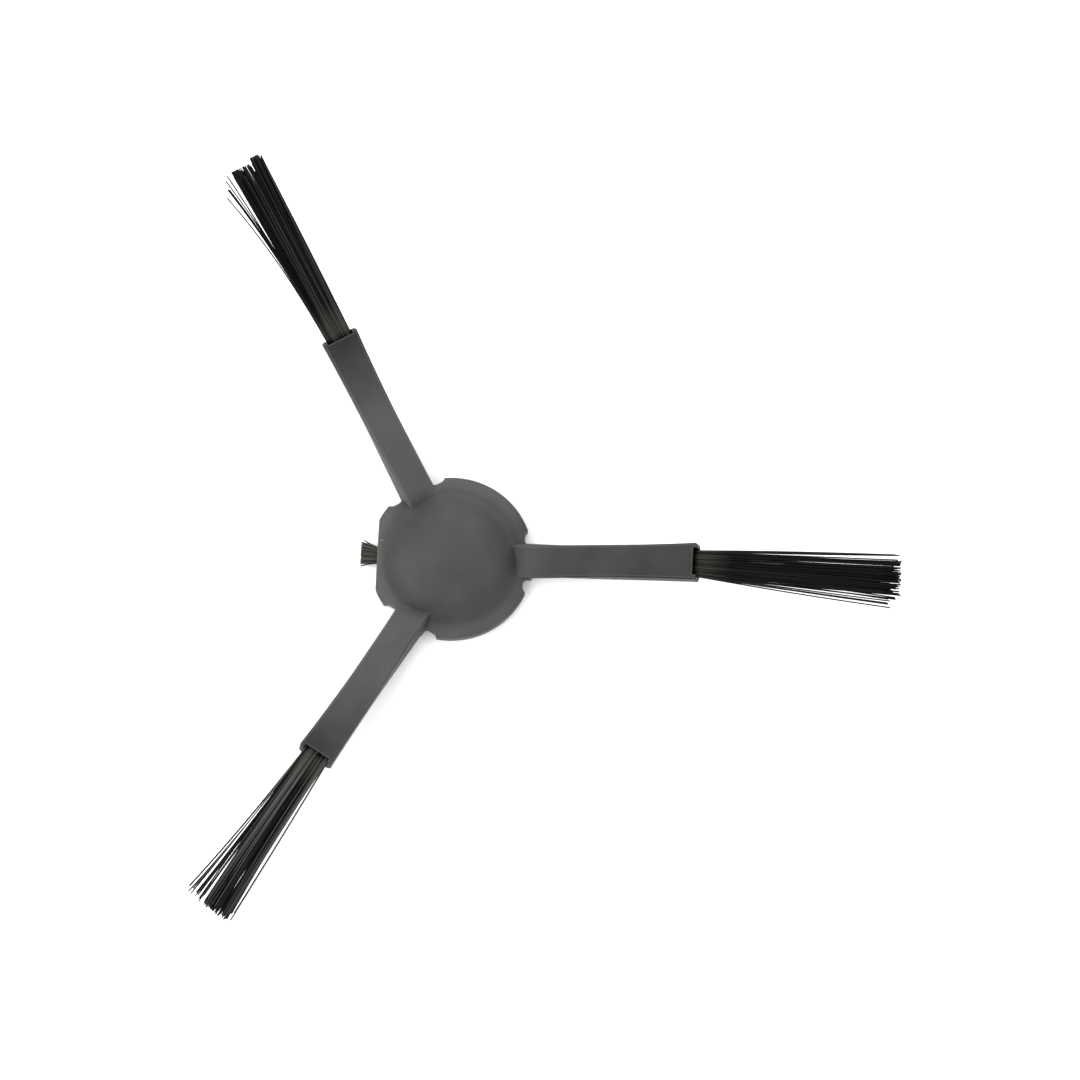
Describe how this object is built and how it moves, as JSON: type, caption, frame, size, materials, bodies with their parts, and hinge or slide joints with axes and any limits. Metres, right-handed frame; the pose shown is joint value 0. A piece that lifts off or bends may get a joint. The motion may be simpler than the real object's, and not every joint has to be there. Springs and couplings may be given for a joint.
{
  "type": "robot vacuum side brush",
  "caption": "Side brush for a robot vacuum: a domed hub with twisted, rising arms, a fanned tuft of black filaments at the end of each arm and a short trimmed tuft on the flat side of the hub.",
  "frame": {"origin": "on the drive axis, in the plane of the hub's rim, at the mouth of the drive socket", "axes": "+Z points out of the domed side, which faces the floor in use; +X lies along the first arm"},
  "size_m": [0.125, 0.1411, 0.0201],
  "materials": {
    "soft_grey_plastic": "moulded soft plastic with a fine matte grain",
    "black_nylon": "drawn nylon filament with a soft sheen"
  },
  "bodies": {
    "root": {"brush_body": "soft_grey_plastic", "long_tuft_1": "black_nylon", "long_tuft_2": "black_nylon", "long_tuft_3": "black_nylon", "short_tuft": "black_nylon"}
  },
  "joints": []
}
